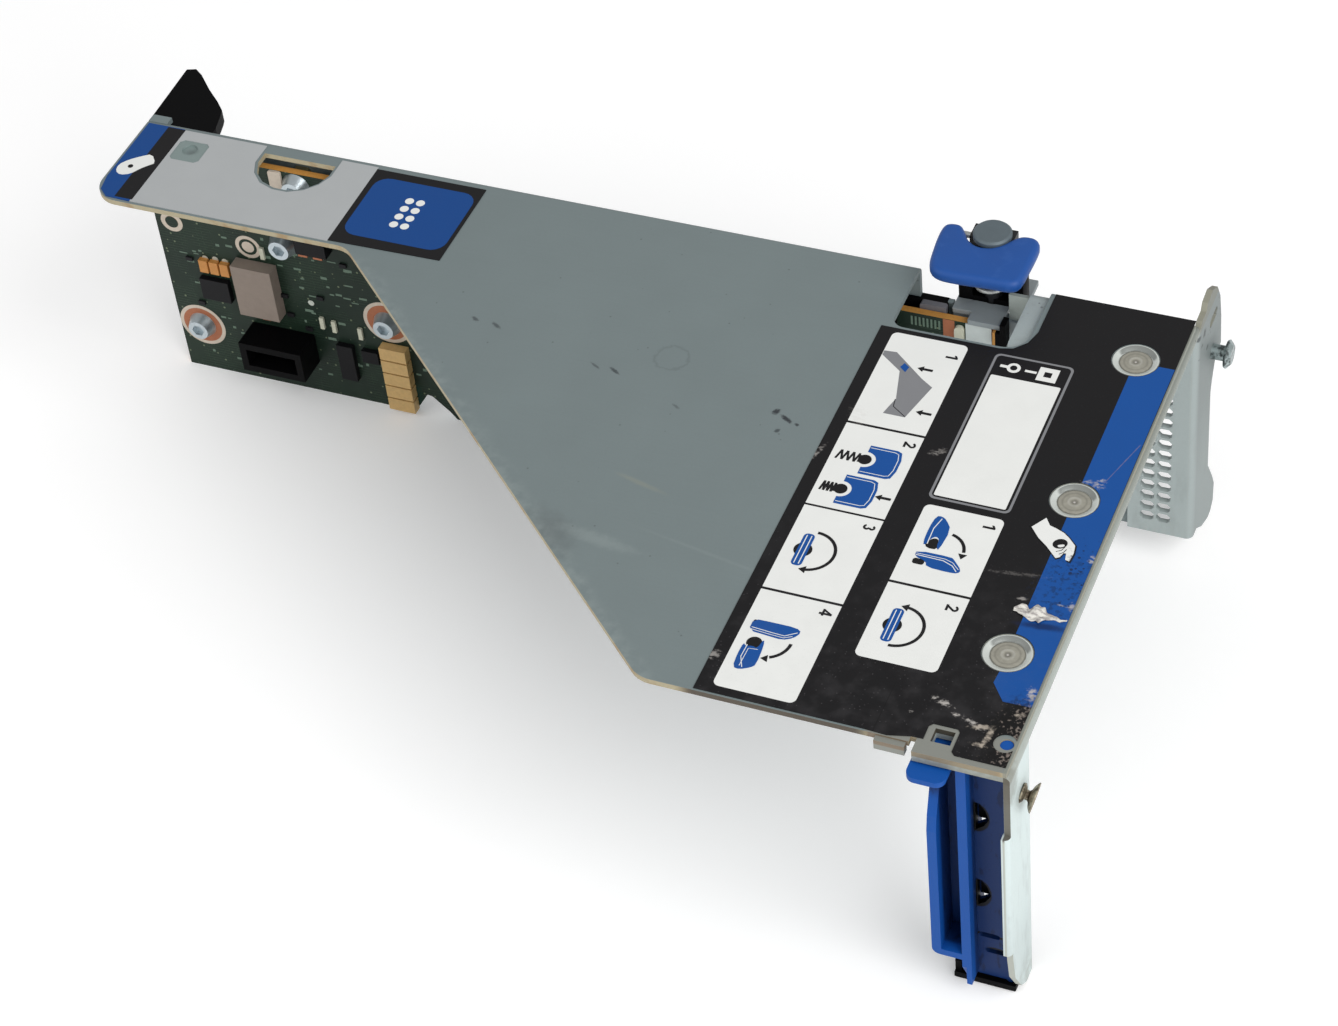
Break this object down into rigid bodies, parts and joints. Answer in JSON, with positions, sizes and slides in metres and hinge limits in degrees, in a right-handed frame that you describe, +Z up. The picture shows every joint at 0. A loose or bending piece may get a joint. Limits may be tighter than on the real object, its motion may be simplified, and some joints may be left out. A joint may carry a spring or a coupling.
{
  "type": "riser cage bracket",
  "caption": "Folded steel riser cage for expansion cards, with a riser board, a blue hinged card latch and a spring-loaded turn lock with a folding handle.",
  "frame": {"origin": "middle of the footprint, on the surface that the board edge and the near post stand on", "axes": "+X along the cage towards its open card end, +Y across it towards the riser board, +Z up out of the cover"},
  "size_m": [0.2386, 0.1456, 0.077],
  "materials": {
    "sheet_steel": "zinc-plated sheet, dull, with rub marks",
    "clinch_steel": "pressed buttons, slightly stained",
    "stud_steel": "zinc-plated",
    "stained_stud": "bent, stained and rubbed",
    "bright_screw": "bright zinc",
    "black_moulding": "black, matt",
    "blue_latch": "blue, satin",
    "blue_handle": "blue, satin",
    "circuit_board": "dark green mask with pale pads",
    "black_chip": "black, matt",
    "tan_ceramic": "tan ceramic with pale ends",
    "choke_body": "pinkish grey, matt",
    "pale_parts": "pale ceramic",
    "copper_legs": "copper coloured",
    "tinned_plate": "dull tinned",
    "label_main": "printed label, black with white and blue fields, rubbed",
    "label_end": "printed label, blue and black",
    "label_panel": "pale grey film",
    "label_press": "printed label, blue square on black"
  },
  "bodies": {
    "cage": {"top_cover": "sheet_steel", "rear_frame": "sheet_steel", "stud_bracket": "sheet_steel", "clinch_buttons": "clinch_steel", "far_stud": "stud_steel", "near_stud": "stained_stud", "board_screws": "bright_screw", "board_standoffs": "bright_screw", "bracket_rivets": "bright_screw", "lock_spring": "bright_screw", "corner_guide": "black_moulding", "latch_foot": "black_moulding", "stud_collar": "black_moulding", "block_connector": "black_moulding", "card_slots": "black_moulding", "riser_board": "circuit_board", "board_chips": "black_chip", "edge_chip": "black_chip", "large_capacitors": "tan_ceramic", "tan_capacitors": "tan_ceramic", "choke": "choke_body", "chip_resistors": "pale_parts", "status_parts": "pale_parts", "edge_chip_legs": "copper_legs", "edge_clip": "tinned_plate", "ground_plate": "tinned_plate", "main_label": "label_main", "end_label": "label_end", "panel_label": "label_panel", "press_label": "label_press"},
    "press": {"spring_cap": "bright_screw"},
    "stud": {"lock_stud": "bright_screw", "stud_head": "bright_screw"},
    "bail": {"bail_handle": "blue_handle", "bail_pin": "bright_screw"},
    "latch": {"card_latch": "blue_latch", "latch_liner": "black_moulding"}
  },
  "joints": [
    {"name": "stud_press", "type": "slide", "parent": "cage", "child": "press", "axis": [0, 0, -1], "range_m": [0, 0.0035], "stiffness_N_per_m": 600, "springref_m": -0.003, "deforming": ["lock_spring"]},
    {"name": "stud_turn", "type": "hinge", "parent": "press", "child": "stud", "pos_m": [0.0718, 0.05535, 0.072], "axis": [0, 0, 1], "range_deg": [0, 180]},
    {"name": "bail_flip", "type": "hinge", "parent": "stud", "child": "bail", "pos_m": [0.0718, 0.05535, 0.0749], "axis": [-1, 0, 0], "range_deg": [0, 90]},
    {"name": "latch_hinge", "type": "hinge", "parent": "cage", "child": "latch", "pos_m": [0.1125, -0.06305, 0.034], "axis": [0, 0, 1], "range_deg": [0, 60]}
  ]
}
